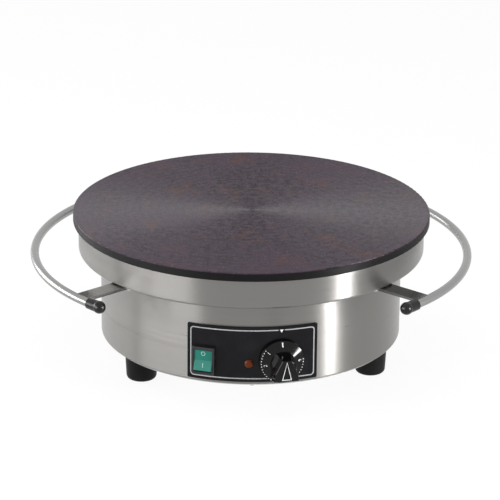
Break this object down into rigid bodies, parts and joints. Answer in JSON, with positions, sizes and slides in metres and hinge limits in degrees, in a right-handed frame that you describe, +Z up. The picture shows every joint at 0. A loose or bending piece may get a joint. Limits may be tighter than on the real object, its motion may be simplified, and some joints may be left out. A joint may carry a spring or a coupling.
{
  "type": "electric crepe maker",
  "caption": "Round electric crepe maker with a flat iron plate on a stepped steel casing, a rod handle on each side, feet, a rocker switch and a thermostat knob.",
  "frame": {"origin": "on the table, below the axis of the plate and the centre of the bounding box", "axes": "+Z up along the axis of the plate, -Y towards the control panel, +X to the right seen from the panel"},
  "size_m": [0.496, 0.4002, 0.169],
  "materials": {
    "brass": "plain",
    "cap_rubber": "glossy",
    "casing_steel": "brushed around the casing",
    "ceramic": "unglazed",
    "element_sheath": "heat-darkened",
    "fastener_steel": "zinc plated",
    "foot_rubber": "satin",
    "handle_steel": "polished stainless",
    "inner_steel": "plain sheet",
    "knob_black": "gloss",
    "lens_amber": "translucent gloss, unlit",
    "nylon_black": "satin",
    "panel_black": "gloss",
    "plate_iron": "machined top with fine concentric turning marks, seasoned dark",
    "rocker_green": "translucent gloss",
    "switch_black": "satin"
  },
  "bodies": {
    "chassis": {"base_cover": "inner_steel", "base_cover_screws": "fastener_steel", "bracket_nuts": "fastener_steel", "bracket_screws": "fastener_steel", "clamp_nuts": "fastener_steel", "clamp_studs": "fastener_steel", "control_panel": "panel_black", "cord_gland": "nylon_black", "earth_stud": "brass", "element_clamp_plate": "inner_steel", "foot_nuts": "fastener_steel", "foot_screws": "fastener_steel", "foot_washers": "fastener_steel", "front_left_bracket": "handle_steel", "front_left_end_cap": "cap_rubber", "front_left_foot": "foot_rubber", "front_right_bracket": "handle_steel", "front_right_end_cap": "cap_rubber", "front_right_foot": "foot_rubber", "gland_nut": "nylon_black", "griddle_plate": "plate_iron", "heat_shield": "inner_steel", "indicator_body": "nylon_black", "indicator_lens": "lens_amber", "inner_heating_element": "element_sheath", "insulation_disc": "ceramic", "left_handle_bow": "handle_steel", "lower_casing": "casing_steel", "outer_heating_element": "element_sheath", "plate_tie_studs": "fastener_steel", "rear_foot": "foot_rubber", "rear_left_bracket": "handle_steel", "rear_left_end_cap": "cap_rubber", "rear_right_bracket": "handle_steel", "rear_right_end_cap": "cap_rubber", "right_handle_bow": "handle_steel", "switch_housing": "switch_black", "switch_terminals": "brass", "terminal_block": "ceramic", "terminal_clamps": "brass", "thermostat_body": "ceramic", "thermostat_probe": "brass", "thermostat_screws": "fastener_steel", "thermostat_terminals": "brass", "tie_spacers": "fastener_steel", "tie_stud_nuts": "fastener_steel", "upper_casing": "casing_steel"},
    "knob": {"thermostat_knob": "knob_black", "thermostat_spindle": "fastener_steel"},
    "rocker": {"power_rocker": "rocker_green"}
  },
  "joints": [
    {"name": "thermostat_turn", "type": "hinge", "parent": "chassis", "child": "knob", "pos_m": [0.03136, -0.16759, 0.056], "axis": [-0.184, 0.9829, 0], "range_deg": [0, 270]},
    {"name": "switch_rock", "type": "hinge", "parent": "chassis", "child": "rocker", "pos_m": [-0.05237, -0.1631, 0.0545], "axis": [0.9521, -0.3057, 0], "range_deg": [0, 22]}
  ]
}
